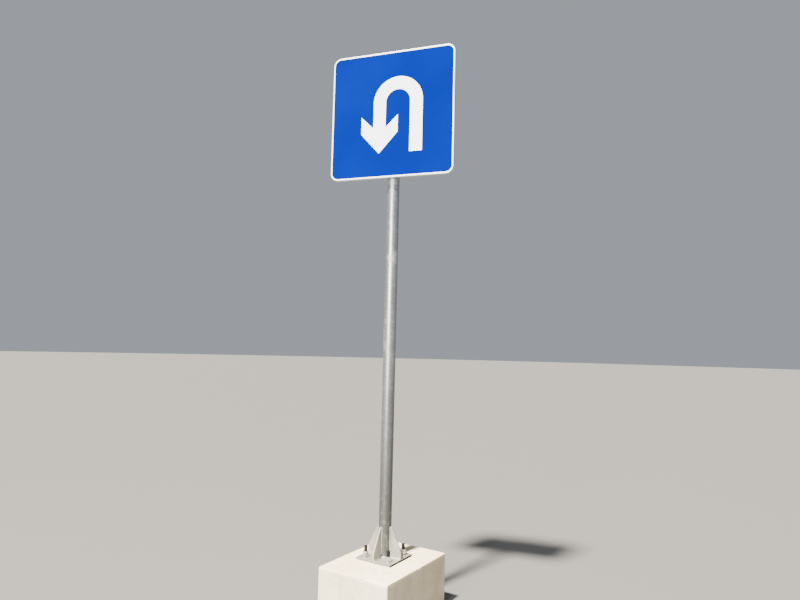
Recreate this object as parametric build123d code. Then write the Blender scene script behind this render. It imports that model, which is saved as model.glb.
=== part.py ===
from build123d import *
import math
import os

# Single-post road sign on a concrete plinth.
# A square pressed panel hangs on two slotted rails, and each rail is clamped to a round
# galvanised post by a notched saddle, a rear strap and a pair of bolts. The post is welded
# to a square base plate with four gussets, and four cast-in anchor rods hold the plate down.
# Frame: +Z up, the panel faces -Y, and the origin is where the post's axis meets the ground.
# All sizes are in millimetres and all angles in degrees.

# Concrete plinth, turned about the post with the base plate
foundation_width = 470.0
foundation_depth = 640.0
foundation_height = 300.0
foundation_shift_x = 18.0
foundation_shift_y = -26.0
foundation_arris = 5.0
base_turn = -14.0

# Base plate and gussets
plate_side = 240.0
plate_thickness = 12.0
plate_corner_radius = 4.0
gusset_count = 4
gusset_thickness = 8.0
gusset_height = 174.0
gusset_top_width = 12.0
gusset_outer_height = 42.0
gusset_edge_margin = 5.0
gusset_snipe = 14.0

# Anchor rods, washers and nuts
anchor_spacing = 160.0
anchor_diameter = 20.0
anchor_hole_clearance = 2.0
anchor_embedment = 220.0
anchor_projection = 64.0
anchor_tip_chamfer = 1.5
anchor_washer_diameter = 37.0
anchor_washer_thickness = 3.0
anchor_nut_across_flats = 30.0
anchor_nut_height = 18.0
anchor_lock_nut_height = 10.0
anchor_lock_nut_turn = 20.0
nut_chamfer_angle = 30.0
nut_face_share = 0.95
thread_gap = 0.15

# Post and its cap
post_diameter = 76.1
post_wall = 3.6
post_above_upper_rail = 88.0
cap_rim_height = 4.0
cap_dome_height = 8.0
cap_plug_depth = 18.0
cap_plug_wall = 2.5
seat_gap = 0.1

# Panel and its sheeting
panel_side = 800.0
panel_corner_radius = 50.0
panel_sheet = 2.0
panel_rim_depth = 20.0
panel_bend_radius = 3.0
panel_clearance_height = 2270.0
sheeting_thickness = 0.5

# Slotted rails on the back of the panel
rail_length = 700.0
rail_spacing = 440.0
rail_base_width = 60.0
rail_depth = 20.0
rail_wall = 3.0
rail_head_clearance = 0.5

# Saddle in front of the post and strap behind it
saddle_length = 170.0
saddle_height = 46.0
saddle_sheet = 4.0
saddle_flange_depth = 18.0
saddle_standoff = 6.0
saddle_end_taper = 12.0
strap_height = 32.0
strap_sheet = 4.0
strap_ear_length = 40.0
strap_ear_gap = 10.0
strap_bend_radius = 5.0

# Clamp bolts, washers and nuts
clamp_bolt_spacing = 124.0
clamp_bolt_diameter = 10.0
clamp_hole_clearance = 0.5
clamp_bolt_tip_chamfer = 1.0
clamp_head_across_flats = 17.0
clamp_head_height = 6.4
clamp_washer_diameter = 20.0
clamp_washer_thickness = 2.0
clamp_nut_height = 8.4
clamp_thread_tail = 8.0

# Places worked out from the sizes above
plate_bottom = foundation_height
plate_top = plate_bottom + plate_thickness
post_radius = post_diameter / 2
anchor_radius = anchor_diameter / 2
clamp_hole_radius = clamp_bolt_diameter / 2 + clamp_hole_clearance
panel_centre = plate_top + panel_clearance_height + panel_side / 2
saddle_base_rear = -(post_radius + saddle_standoff)
rail_rear = saddle_base_rear - saddle_sheet
panel_rear = rail_rear - rail_depth
panel_front = panel_rear - panel_sheet
strap_ear_front = saddle_base_rear + strap_ear_gap
strap_ear_rear = strap_ear_front + strap_sheet
rail_heights = {
    "upper": panel_centre + rail_spacing / 2,
    "lower": panel_centre - rail_spacing / 2,
}
post_top = rail_heights["upper"] + post_above_upper_rail
clamp_sides = {"left": -clamp_bolt_spacing / 2, "right": clamp_bolt_spacing / 2}


def box_between(low, high):
    """Block from its lowest corner to its highest."""
    size = [high[i] - low[i] for i in range(3)]
    centre = [(high[i] + low[i]) / 2 for i in range(3)]
    return Pos(*centre) * Box(*size)


def upright(radius, bottom, top, x=0.0, y=0.0):
    """Vertical cylinder between two heights."""
    return Pos(x, y, (bottom + top) / 2) * Cylinder(radius, top - bottom)


def hexagon_prism(across_flats, height):
    """Hexagonal bar standing on the XY plane."""
    return extrude(RegularPolygon(across_flats / 2, 6, major_radius=False), height)


def hex_nut(across_flats, height, bore_radius):
    """Hexagonal nut standing on the XY plane, with its corners turned down at both ends."""
    corner_radius = across_flats / math.sqrt(3)
    face_radius = nut_face_share * across_flats / 2
    turn_down = (corner_radius - face_radius) * math.tan(math.radians(nut_chamfer_angle))
    outline = Polygon(
        (bore_radius, 0),
        (face_radius, 0),
        (corner_radius, turn_down),
        (corner_radius, height - turn_down),
        (face_radius, height),
        (bore_radius, height),
        align=None,
    )
    return hexagon_prism(across_flats, height) & revolve(Plane.XZ * outline, Axis.Z)


def washer(diameter, thickness, bore_radius):
    """Flat washer standing on the XY plane."""
    return upright(diameter / 2, 0, thickness) - upright(bore_radius, 0, thickness)


def turned(part):
    """Part of the base, turned about the post to stand as the plinth does."""
    return Rot(0, 0, base_turn) * part


def anchor_places():
    """Centres of the four anchor rods, in the base's own axes."""
    half = anchor_spacing / 2
    return [(-half, -half), (half, -half), (half, half), (-half, half)]


def foundation_block():
    """Concrete plinth with worn-off top arrises and the four cast-in rod seats."""
    block = Pos(foundation_shift_x, foundation_shift_y, foundation_height / 2) * Box(
        foundation_width, foundation_depth, foundation_height
    )
    block = chamfer(block.edges().group_by(Axis.Z)[-1], foundation_arris)
    seat_bottom = foundation_height - anchor_embedment
    for x, y in anchor_places():
        block -= upright(anchor_radius + seat_gap, seat_bottom, foundation_height, x, y)
    return turned(block)


def base_plate():
    """Square plate with one clearance hole near each corner."""
    outline = RectangleRounded(plate_side, plate_side, plate_corner_radius)
    hole = Circle(anchor_radius + anchor_hole_clearance)
    holes = [Pos(x, y) * hole for x, y in anchor_places()]
    return turned(Pos(0, 0, plate_bottom) * extrude(outline - holes, plate_thickness))


def gusset(index):
    """Trapezoidal stiffener at the middle of one side of the plate, sniped at its inner corner."""
    inner = post_radius - gusset_thickness
    outer = plate_side / 2 - gusset_edge_margin
    outline = Polygon(
        (inner, gusset_snipe),
        (inner, gusset_height),
        (post_radius + gusset_top_width, gusset_height),
        (outer, gusset_outer_height),
        (outer, 0),
        (post_radius + gusset_snipe, 0),
        (post_radius, gusset_snipe),
        align=None,
    )
    web = extrude(Plane.XZ * outline, gusset_thickness / 2, both=True)
    web = Pos(0, 0, plate_top) * web
    web -= upright(post_radius + seat_gap, plate_top, post_top)
    return turned(Rot(0, 0, index * 360 / gusset_count) * web)


def post_tube():
    """Round hollow post, standing on the base plate."""
    outer = upright(post_radius, plate_top, post_top)
    return outer - upright(post_radius - post_wall, plate_top, post_top)


def post_cap():
    """Shallow domed cap, pushed into the top of the post."""
    plug_radius = post_radius - post_wall - seat_gap
    plug_bottom = -cap_plug_depth
    plug_inner = plug_radius - cap_plug_wall
    crown = cap_rim_height + cap_dome_height
    with BuildPart() as cap:
        with BuildSketch(Plane.XZ):
            with BuildLine():
                Polyline(
                    (0, 0),
                    (plug_inner, 0),
                    (plug_inner, plug_bottom),
                    (plug_radius, plug_bottom),
                    (plug_radius, 0),
                    (post_radius, 0),
                    (post_radius, cap_rim_height),
                )
                RadiusArc(
                    (post_radius, cap_rim_height),
                    (0, crown),
                    -(post_radius**2 + cap_dome_height**2) / (2 * cap_dome_height),
                )
                Line((0, crown), (0, 0))
            make_face()
        revolve(axis=Axis.Z)
    return Pos(0, 0, post_top) * cap.part


def anchor_rod(place):
    """Threaded rod, cast into the plinth and standing above the plate."""
    bottom = foundation_height - anchor_embedment
    rod = upright(anchor_radius, bottom, plate_top + anchor_projection, *place)
    return turned(chamfer(rod.edges().group_by(Axis.Z)[-1], anchor_tip_chamfer))


def anchor_stack(place):
    """Washer, nut and lock nut on one anchor rod, from the plate upwards."""
    bore = anchor_radius + thread_gap
    x, y = place
    nut_bottom = plate_top + anchor_washer_thickness
    lock_bottom = nut_bottom + anchor_nut_height
    ring = washer(anchor_washer_diameter, anchor_washer_thickness, bore)
    nut = hex_nut(anchor_nut_across_flats, anchor_nut_height, bore)
    lock_nut = hex_nut(anchor_nut_across_flats, anchor_lock_nut_height, bore)
    return {
        "washer": turned(Pos(x, y, plate_top) * ring),
        "nut": turned(Pos(x, y, nut_bottom) * nut),
        "lock_nut": turned(Pos(x, y, lock_bottom) * Rot(0, 0, anchor_lock_nut_turn) * lock_nut),
    }


def sign_panel():
    """Pressed tray: flat face, bent rim all round, open at the back."""
    outline = RectangleRounded(panel_side, panel_side, panel_corner_radius)
    back_plane = Plane.XZ.offset(-(panel_front + panel_rim_depth))
    tray = extrude(back_plane * outline, panel_rim_depth)
    tray = fillet(tray.faces().sort_by(Axis.Y)[0].edges(), panel_bend_radius)
    back = tray.faces().sort_by(Axis.Y)[-1]
    tray = offset(tray, amount=-panel_sheet, openings=back)
    return Pos(0, 0, panel_centre) * tray


def face_sheeting():
    """Reflective film over the flat of the panel's face."""
    side = panel_side - 2 * panel_bend_radius
    outline = RectangleRounded(side, side, panel_corner_radius - panel_bend_radius)
    film = extrude(Plane.XZ.offset(-panel_front) * outline, sheeting_thickness)
    return Pos(0, 0, panel_centre) * film


def slotted_rail(height):
    """Extruded channel: a riveting flange each side, and a slot that keeps bolt heads from turning."""
    flange = rail_base_width / 2
    bore = clamp_head_across_flats / 2 + rail_head_clearance
    body = bore + rail_wall
    slot = clamp_hole_radius
    lip = rail_depth - rail_wall
    half = [
        (flange, 0),
        (flange, rail_wall),
        (body, rail_wall),
        (body, rail_depth),
        (slot, rail_depth),
        (slot, lip),
        (bore, lip),
        (bore, rail_wall),
    ]
    outline = half + [(-z, y) for z, y in reversed(half)]
    section = Polygon(*[(panel_rear + y, height + z) for z, y in outline], align=None)
    return extrude(Plane.YZ * section, rail_length / 2, both=True)


def clamp_holes(height, front, rear):
    """Pair of cylinders along Y, one round each clamp bolt."""
    hole = Rot(90, 0, 0) * Cylinder(clamp_hole_radius, rear - front)
    return [Pos(x, (front + rear) / 2, height) * hole for x in clamp_sides.values()]


def saddle(height):
    """Channel bracket on the rail, its two flanges notched to cradle the front of the post."""
    half_length = saddle_length / 2
    flange_rear = saddle_base_rear + saddle_flange_depth
    outline = Polygon(
        (-half_length, rail_rear),
        (half_length, rail_rear),
        (half_length, flange_rear - saddle_end_taper),
        (half_length - saddle_end_taper, flange_rear),
        (saddle_end_taper - half_length, flange_rear),
        (-half_length, flange_rear - saddle_end_taper),
        align=None,
    )
    body = Pos(0, 0, height - saddle_height / 2) * extrude(outline, saddle_height)
    inner_half_height = saddle_height / 2 - saddle_sheet
    body -= box_between(
        (-half_length, saddle_base_rear, height - inner_half_height),
        (half_length, flange_rear, height + inner_half_height),
    )
    body -= upright(post_radius + seat_gap, height - saddle_height / 2, height + saddle_height / 2)
    for hole in clamp_holes(height, rail_rear, saddle_base_rear):
        body -= hole
    return body


def strap(height):
    """Flat strip bent round the back of the post, with an ear each side for the clamp bolt."""
    inner = post_radius + seat_gap
    outer = inner + strap_sheet
    ear_end = outer + strap_ear_length
    half_ring = (Circle(outer) - Circle(inner)) & Pos(0, outer / 2) * Rectangle(2 * outer, outer)
    leg_length = -strap_ear_front
    leg = Pos(inner + strap_sheet / 2, -leg_length / 2) * Rectangle(strap_sheet, leg_length)
    ear = Pos((inner + ear_end) / 2, strap_ear_front + strap_sheet / 2) * Rectangle(
        ear_end - inner, strap_sheet
    )
    profile = half_ring + leg + ear + mirror(leg + ear, about=Plane.YZ)
    strip = extrude(Pos(0, 0, height - strap_height / 2) * profile, strap_height)
    uprights = strip.edges().filter_by(Axis.Z)
    knees = [
        uprights.sort_by_distance((x, strap_ear_rear, height))[0] for x in (-outer, outer)
    ]
    strip = fillet(knees, strap_bend_radius)
    for hole in clamp_holes(height, strap_ear_front, strap_ear_rear):
        strip -= hole
    return strip


def clamp_set(x, height):
    """Bolt with its head held in the rail, and the washer and nut behind the strap's ear."""
    head_front = rail_rear - rail_wall - clamp_head_height
    washer_rear = strap_ear_rear + clamp_washer_thickness
    tip = washer_rear + clamp_nut_height + clamp_thread_tail
    along_y = Pos(x, 0, height) * Rot(-90, 0, 0)
    head = hexagon_prism(clamp_head_across_flats, clamp_head_height)
    shank = upright(clamp_bolt_diameter / 2, clamp_head_height, tip - head_front)
    shank = chamfer(shank.edges().group_by(Axis.Z)[-1], clamp_bolt_tip_chamfer)
    bore = clamp_bolt_diameter / 2 + thread_gap
    ring = washer(clamp_washer_diameter, clamp_washer_thickness, bore)
    nut = hex_nut(clamp_head_across_flats, clamp_nut_height, bore)
    return {
        "bolt": along_y * Pos(0, 0, head_front) * (head + shank),
        "washer": along_y * Pos(0, 0, strap_ear_rear) * ring,
        "nut": along_y * Pos(0, 0, washer_rear) * nut,
    }


def all_parts():
    """Every piece of the sign, by name."""
    parts = {
        "foundation_block": foundation_block(),
        "base_plate": base_plate(),
        "post_tube": post_tube(),
        "post_cap": post_cap(),
        "sign_panel": sign_panel(),
        "face_sheeting": face_sheeting(),
    }
    for index, side in enumerate(["right", "rear", "left", "front"]):
        parts[f"gusset_{side}"] = gusset(index)
    for number, place in enumerate(anchor_places(), start=1):
        parts[f"anchor_rod_{number}"] = anchor_rod(place)
        for name, piece in anchor_stack(place).items():
            parts[f"anchor_{name}_{number}"] = piece
    for level, height in rail_heights.items():
        parts[f"rail_{level}"] = slotted_rail(height)
        parts[f"saddle_{level}"] = saddle(height)
        parts[f"strap_{level}"] = strap(height)
        for side, x in clamp_sides.items():
            for name, piece in clamp_set(x, height).items():
                parts[f"clamp_{name}_{level}_{side}"] = piece
    return parts


os.makedirs("parts", exist_ok=True)
for part_name, part in all_parts().items():
    export_step(part, f"parts/{part_name}.step")
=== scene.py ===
import math

import bmesh
import bpy
import numpy as np
from mathutils import Matrix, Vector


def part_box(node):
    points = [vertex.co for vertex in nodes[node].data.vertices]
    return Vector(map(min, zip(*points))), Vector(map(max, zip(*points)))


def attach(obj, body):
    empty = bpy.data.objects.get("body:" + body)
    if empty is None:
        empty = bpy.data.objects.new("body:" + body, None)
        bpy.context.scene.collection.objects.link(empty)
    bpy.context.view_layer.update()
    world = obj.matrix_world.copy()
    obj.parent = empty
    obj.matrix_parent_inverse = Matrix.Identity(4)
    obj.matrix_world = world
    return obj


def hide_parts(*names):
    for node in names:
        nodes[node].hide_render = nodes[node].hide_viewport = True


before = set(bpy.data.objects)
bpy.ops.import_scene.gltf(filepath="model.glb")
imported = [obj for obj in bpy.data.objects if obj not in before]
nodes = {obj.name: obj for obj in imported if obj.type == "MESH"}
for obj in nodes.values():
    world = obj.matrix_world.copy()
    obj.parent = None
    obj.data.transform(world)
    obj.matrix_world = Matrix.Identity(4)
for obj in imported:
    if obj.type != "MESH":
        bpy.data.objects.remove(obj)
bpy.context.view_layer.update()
print("stage: frame loaded,", len(nodes), "nodes")


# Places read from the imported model, in metres
def boxOf(node):
    low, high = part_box(node)
    return np.array(low), np.array(high)


postLow, postHigh = boxOf("post_tube")
panelLow, panelHigh = boxOf("sign_panel")
plinthHeight = boxOf("foundation_block")[1][2]
postRadius = (postHigh[0] - postLow[0]) / 2
plateTop = boxOf("base_plate")[1][2]
filmBack = boxOf("face_sheeting")[1][1]
panelCentre = (panelLow[2] + panelHigh[2]) / 2
gussetLow, gussetHigh = boxOf("gusset_right")
gussetMiddle = (gussetLow + gussetHigh) / 2
baseTurn = math.atan2(gussetMiddle[1], gussetMiddle[0])  # how far the foot is turned under the panel


# Points turned about the post's axis: x cos(angle) - y sin(angle), x sin(angle) + y cos(angle)
def turned(points, angle):
    c, s = math.cos(angle), math.sin(angle)
    return points @ np.array([[c, -s, 0.0], [s, c, 0.0], [0.0, 0.0, 1.0]]).T


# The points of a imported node, one row of (x, y, z) each
def pointsOf(node):
    mesh = nodes[node].data
    flat = np.zeros(len(mesh.vertices) * 3, np.float32)
    mesh.vertices.foreach_get("co", flat)
    return flat.reshape(-1, 3).astype(float)


# Box of a node of the foot, measured square to its own sides: its points turned back by the foot's turn
def squareBox(node):
    square = turned(pointsOf(node), -baseTurn)
    return square.min(0), square.max(0)


plateHalf = squareBox("base_plate")[1][0]


# A new object, linked into the scene
def newObject(name, data):
    made = bpy.data.objects.new(name, data)
    bpy.context.scene.collection.objects.link(made)
    return made


# Camera solved from the photograph: a 27 mm lens, and its place in metres on the sign's assumed scale
photoView = {
    "width": 800, "focalPixels": 605.67, "sensor": 36.0,
    "place": (1.2474, -3.4894, 1.5388),
    "turnLeft": 18.785, "tiltUp": 4.566, "lean": 1.336,  # degrees
}


# The view direction from turn and tilt, with right and up square to it and both rolled round it by the lean
def setCamera(view):
    turn, tilt, lean = (math.radians(view[k]) for k in ("turnLeft", "tiltUp", "lean"))
    ahead = np.array([-math.sin(turn) * math.cos(tilt), math.cos(turn) * math.cos(tilt), math.sin(tilt)])
    right = np.array([math.cos(turn), math.sin(turn), 0.0])
    up = np.cross(right, ahead)
    rightLeant = right * math.cos(lean) + up * math.sin(lean)
    upLeant = up * math.cos(lean) - right * math.sin(lean)
    data = bpy.data.cameras.new("photoCamera")
    data.sensor_width = view["sensor"]
    data.lens = view["focalPixels"] / view["width"] * view["sensor"]
    camera = newObject("photoCamera", data)
    matrix = np.eye(4)
    matrix[:3, 0], matrix[:3, 1], matrix[:3, 2], matrix[:3, 3] = rightLeant, upLeant, -ahead, view["place"]
    camera.matrix_world = Matrix(matrix.tolist())
    bpy.context.scene.camera = camera


setCamera(photoView)
print("stage: camera set")


# Studio: pale floor, pale surroundings, one soft key lamp high in front and to the left, and below it a tall
# strip lamp that draws the bright line down the post. Angles are in degrees. The key lamp's power is in watts
# per square metre, and the strip lamp's in watts.
studio = {
    "floorRadius": 90.0, "floorAround": 96, "floorBelow": 0.0004, "floorColour": (0.116, 0.113, 0.107),
    "floorClouds": (0.8, 3.0), "floorDarker": 0.96, "floorRough": 0.9,
    "aroundColour": (0.84, 0.89, 0.97), "aroundStrength": 0.42,
    "keyAzimuth": 249.0, "keyHeight": 61.0, "keySoftness": 4.5, "keyPower": 26.0,
    "keyColour": (1.0, 0.945, 0.845), "keyDistance": 8.0,
    "stripAzimuth": 264.0, "stripDistance": 6.0, "stripMiddle": 2.4, "stripWidth": 2.0, "stripHeight": 2.4,
    "stripPower": 760.0, "stripColour": (1.0, 1.0, 1.0),
}


# Lamp at place, shining at target: its own z axis points away from the target, and its x axis is level
def addLamp(name, kind, place, target, power, colour):
    data = bpy.data.lights.new(name, kind)
    data.energy = power
    data.color = colour
    lamp = newObject(name, data)
    away = np.array(place) - np.array(target)
    away /= np.linalg.norm(away)
    side = np.cross((0.0, 0.0, 1.0), away)
    side /= np.linalg.norm(side)
    matrix = np.eye(4)
    matrix[:3, 0], matrix[:3, 1], matrix[:3, 2], matrix[:3, 3] = side, np.cross(away, side), away, place
    lamp.matrix_world = Matrix(matrix.tolist())
    return data


# Each lamp's direction is (cos azimuth cos height, sin azimuth cos height, sin height), seen from the post
def lightStudio(values):
    world = bpy.data.worlds.new("paleRoom")
    bpy.context.scene.world = world
    world.use_nodes = True
    back = world.node_tree.nodes["Background"]
    back.inputs["Color"].default_value = (*values["aroundColour"], 1.0)
    back.inputs["Strength"].default_value = values["aroundStrength"]
    azimuth, height = math.radians(values["keyAzimuth"]), math.radians(values["keyHeight"])
    target = np.array([0.0, 0.0, panelCentre / 2])
    toKey = np.array([math.cos(azimuth) * math.cos(height), math.sin(azimuth) * math.cos(height),
                      math.sin(height)])
    key = addLamp("keyLamp", "SUN", target + toKey * values["keyDistance"], target, values["keyPower"],
                  values["keyColour"])
    key.angle = math.radians(values["keySoftness"])
    azimuth, distance = math.radians(values["stripAzimuth"]), values["stripDistance"]
    foot = np.array([math.cos(azimuth) * distance, math.sin(azimuth) * distance, 0.0])
    middle = np.array([0.0, 0.0, values["stripMiddle"]])
    strip = addLamp("stripLamp", "AREA", foot + middle, middle, values["stripPower"], values["stripColour"])
    strip.shape = "RECTANGLE"
    strip.size = values["stripWidth"]
    strip.size_y = values["stripHeight"]


lightStudio(studio)
print("stage: lamps set")


# Shader maths as expressions: a Value wraps a socket, and each operator adds one Math node
class Value:
    def __init__(self, finish, socket):
        self.finish, self.socket = finish, socket

    # One Math node over this value and the others, in that order
    def maths(self, operation, *others):
        return self.finish.node("ShaderNodeMath", {"operation": operation}, dict(enumerate((self, *others))))

    def __add__(self, other):
        return self.maths("ADD", other)

    __radd__ = __add__

    def __sub__(self, other):
        return self.maths("SUBTRACT", other)

    def __rsub__(self, other):
        return self.finish.node("ShaderNodeMath", {"operation": "SUBTRACT"}, {0: other, 1: self})

    def __mul__(self, other):
        return self.maths("MULTIPLY", other)

    __rmul__ = __mul__

    def __pow__(self, other):
        return self.maths("POWER", other)

    # Held between 0 and 1
    def clamp(self):
        return self.finish.node("ShaderNodeClamp", {}, {0: self})

    # 0 below low, 1 above high, and t * t * (3 - 2 * t) where it is the share t of the way between
    def smooth(self, low, high):
        return self.finish.node("ShaderNodeMapRange", {"interpolation_type": "SMOOTHSTEP"},
                                {"Value": self, "From Min": low, "From Max": high})

    # The same step, from reach[0] below the level to reach[1] below it
    def nearing(self, level, reach):
        return self.smooth(level - reach[0], level - reach[1])


# One material: a Principled shader whose patterns follow the place on the object, in metres
class Finish:
    def __init__(self, name):
        self.material = bpy.data.materials.new(name)
        self.material.use_nodes = True
        self.tree = self.material.node_tree
        self.tree.nodes.clear()
        self.shader = self.tree.nodes.new("ShaderNodeBsdfPrincipled")
        output = self.tree.nodes.new("ShaderNodeOutputMaterial")
        self.tree.links.new(self.shader.outputs["BSDF"], output.inputs["Surface"])
        self.place = self.node("ShaderNodeTexCoord", {}, {}, "Object")

    # One node of any type: settings first, then the sockets' values or links; gives the wanted output
    def node(self, kind, settings, inputs, output=0):
        made = self.tree.nodes.new(kind)
        for key, value in settings.items():
            setattr(made, key, value)
        for key, value in inputs.items():
            self.feed(made.inputs[key], value)
        return Value(self, made.outputs[output])

    # A link, a colour with its alpha filled in, or any other value
    def feed(self, socket, value):
        if isinstance(value, Value):
            self.tree.links.new(value.socket, socket)
        elif isinstance(value, (tuple, list)) and socket.type == "RGBA" and len(value) == 3:
            socket.default_value = (*value, 1.0)
        else:
            socket.default_value = value

    # Clouds between 0 and 1: noise at scale times the place, and finer noises added as detail
    def noise(self, scale, detail, rough=0.55, distort=0.0, place=None, output="Fac"):
        return self.node("ShaderNodeTexNoise", {}, {"Vector": place or self.place, "Scale": scale,
                         "Detail": detail, "Roughness": rough, "Distortion": distort}, output)

    # Cells round scattered points: the distance to the nearest point or border, or a colour for each cell
    def cells(self, scale, feature="F1", output="Distance", place=None, randomness=1.0):
        return self.node("ShaderNodeTexVoronoi", {"feature": feature},
                         {"Vector": place or self.place, "Scale": scale, "Randomness": randomness}, output)

    # The place times scale along x, y and z
    def stretched(self, scale):
        return self.node("ShaderNodeMapping", {}, {"Vector": self.place, "Scale": scale})

    # The place plus by times the colour of a noise
    def warped(self, noise, by):
        return self.node("ShaderNodeVectorMath", {"operation": "MULTIPLY_ADD"},
                         {0: self.noise(*noise, output="Color"), 1: (by, by, by), 2: self.place})

    # The step over a noise: 1 where the noise is high
    def mark(self, noiseAndStep, place=None):
        noise, step = noiseAndStep
        return self.noise(*noise, place=place).smooth(*step)

    # (1 - factor) times the first colour plus factor times the second, or another way of blending them
    def mix(self, factor, first, second, blend="MIX"):
        return self.node("ShaderNodeMix", {"data_type": "RGBA", "blend_type": blend},
                         {0: factor, 6: first, 7: second}, 2)

    # The place's x, y and z
    def axes(self):
        split = self.node("ShaderNodeSeparateXYZ", {}, {"Vector": self.place})
        return [Value(self, split.socket.node.outputs[n]) for n in range(3)]

    # The surface direction tilted by the slope of height times distance
    def bump(self, height, distance, strength):
        return self.node("ShaderNodeBump", {}, {"Height": height, "Distance": distance, "Strength": strength})

    # The shader's sockets fed by their names, with _ for each space
    def done(self, **sockets):
        for key, value in sockets.items():
            self.feed(self.shader.inputs[key.replace("_", " ")], value)
        return self.material


print("stage: shader helpers ready")


# In every look a noise is (cells per metre, octaves, roughness, distortion), as many of them as differ from
# the usual ones. A step is where something starts and where it is full, a mark is a noise with its step, and
# a share is how much is mixed in. A reach is how far from a border something starts and is full, in metres,
# and a bump is (metres, strength).

# Hot-dip zinc: grey crystals about 8 mm wide, thin runs down the steel, chalky patches, dust on the foot's
# plates, a painted darkening down the post towards its foot, painted shade on the plate's sides, and silt
# with painted shade in the corners round the post's foot. Rough holds the roughness where the shade is 0 and
# where it is 1, and two shares set the dust and darkening and the painted shade and silt.
zincLook = {
    "light": (0.44, 0.448, 0.452), "dark": (0.30, 0.307, 0.315), "chalk": (0.50, 0.51, 0.51),
    # First colour: painted darkening down the post; second: painted edge shade; third: silt with painted
    # shade
    "dust": (0.075, 0.076, 0.068), "grime": (0.020, 0.020, 0.018), "silt": (0.17, 0.145, 0.11),
    "crystals": 130.0, "warp": (22.0, 2.0), "warpBy": 0.02, "broad": (6.0, 3.0, 0.6),
    "runs": (1.0, 5.0, 0.6), "runsAlong": (55.0, 55.0, 3.2),
    "crystalShare": 0.26, "broadShare": 0.45, "runShare": 0.40, "shadeStep": (0.25, 0.85),
    "chalkFine": (14.0, 6.0, 0.65), "chalkBroad": (2.3, 2.0), "chalkStep": (0.27, 0.42), "chalkShare": 0.20,
    "dustMark": ((26.0, 6.0, 0.7), (0.05, 0.52)), "dustTop": 2.50,
    "leastGrime": 0.35, "acrossReach": (0.004, 0.001), "downReach": (0.0022, 0.0006),
    "siltMark": ((75.0, 5.0, 0.65), (0.38, 0.62)), "siltShare": 0.45, "siltWidth": 0.04, "siltHeight": 0.05,
    "metallic": 0.92, "rough": (0.30, 0.42), "dusty": 0.0, "grimy": 0.0,
    "rougher": {"chalk": 0.16, "dust": 0.08, "grime": 0.55, "silt": 0.2},
    "duller": {"chalk": 0.35, "dust": 0.25},
    "grain": (420.0, 3.0, 0.6), "relief": {"crystals": 0.12, "grain": 0.18, "runs": 0.7, "broad": 0.4},
    "bump": (0.0005, 0.5),
}
# On the post the near-black dust colour, up to 2.5 m, is a painted darkening towards its foot
postLook = {**zincLook, "rough": (0.33, 0.42), "dusty": 0.95}
clampLook = {**zincLook, "crystals": 170.0, "rough": (0.34, 0.50)}
footLook = {**zincLook, "crystals": 110.0, "light": (0.46, 0.465, 0.465), "dark": (0.33, 0.335, 0.34),
            "chalk": (0.56, 0.56, 0.55), "dust": (0.36, 0.33, 0.27), "metallic": 0.85, "rough": (0.38, 0.56),
            "dusty": 0.6, "grimy": 1.0}
weldLook = {**footLook, "crystals": 260.0, "metallic": 0.75, "rough": (0.42, 0.60), "dusty": 0.0,
            "grimy": 0.0}


# Shade = crystal tone, broad noise and runs added up; chalk, dust, painted shade and silt are then mixed over
# it. Dust on the foot and a painted darkening on the post thin out up to their top height, painted shade lies
# on the plate's sides, most on its right one, and silt with painted shade round the post's foot.
def zincCoat(name, look):
    f = Finish(name)
    crystal = f.cells(look["crystals"], output="Color", place=f.warped(look["warp"], look["warpBy"]))
    tone = f.node("ShaderNodeSeparateColor", {}, {"Color": crystal})
    broad = f.noise(*look["broad"])
    runs = f.noise(*look["runs"], place=f.stretched(look["runsAlong"]))
    shade = tone * look["crystalShare"] + broad * look["broadShare"] + runs * look["runShare"]
    shade = shade.smooth(*look["shadeStep"])
    colour = f.mix(shade, look["dark"], look["light"])
    chalk = (f.noise(*look["chalkFine"]) * f.noise(*look["chalkBroad"])).smooth(*look["chalkStep"])
    colour = f.mix(chalk * look["chalkShare"], colour, look["chalk"])
    x, y, height = f.axes()
    fading = 1.0 - height.smooth(plinthHeight, look["dustTop"])
    # Darker towards the foot: a painted darkening on the post, and dust on the foot
    dust = fading * f.mark(look["dustMark"]) * look["dusty"]
    colour = f.mix(dust.clamp(), colour, look["dust"])
    # Painted shade on the plate's sides below its top: full on its right side, a least share on the others
    across = x * math.cos(baseTurn) + y * math.sin(baseTurn)
    least = look["leastGrime"]
    damp = least + (1.0 - least) * across.nearing(plateHalf, look["acrossReach"])
    grime = (1.0 - height.nearing(plateTop, look["downReach"])) * damp * look["grimy"]
    colour = f.mix(grime, colour, look["grime"])
    # Silt, and painted shade, in the corners where the post's foot meets the plate and gussets
    fromAxis = (x * x + y * y) ** 0.5
    inwards = 1.0 - fromAxis.smooth(postRadius, postRadius + look["siltWidth"])
    corner = inwards * (1.0 - height.smooth(plateTop, plateTop + look["siltHeight"]))
    silt = corner * f.mark(look["siltMark"]) * look["grimy"]
    colour = f.mix(silt * look["siltShare"], colour, look["silt"])
    more, less, deep = look["rougher"], look["duller"], look["relief"]
    smoothest, roughest = look["rough"]
    rough = smoothest + (roughest - smoothest) * shade + chalk * more["chalk"] + dust * more["dust"]
    rough = (rough + grime * more["grime"] + silt * more["silt"]).clamp()
    grain = f.noise(*look["grain"])
    relief = tone * deep["crystals"] + grain * deep["grain"] + runs * deep["runs"] + broad * deep["broad"]
    relief = f.bump(relief, *look["bump"])
    metal = (look["metallic"] - chalk * less["chalk"] - dust * less["dust"]).clamp()
    return f.done(Base_Color=colour, Metallic=metal, Roughness=rough, Normal=relief)
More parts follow.
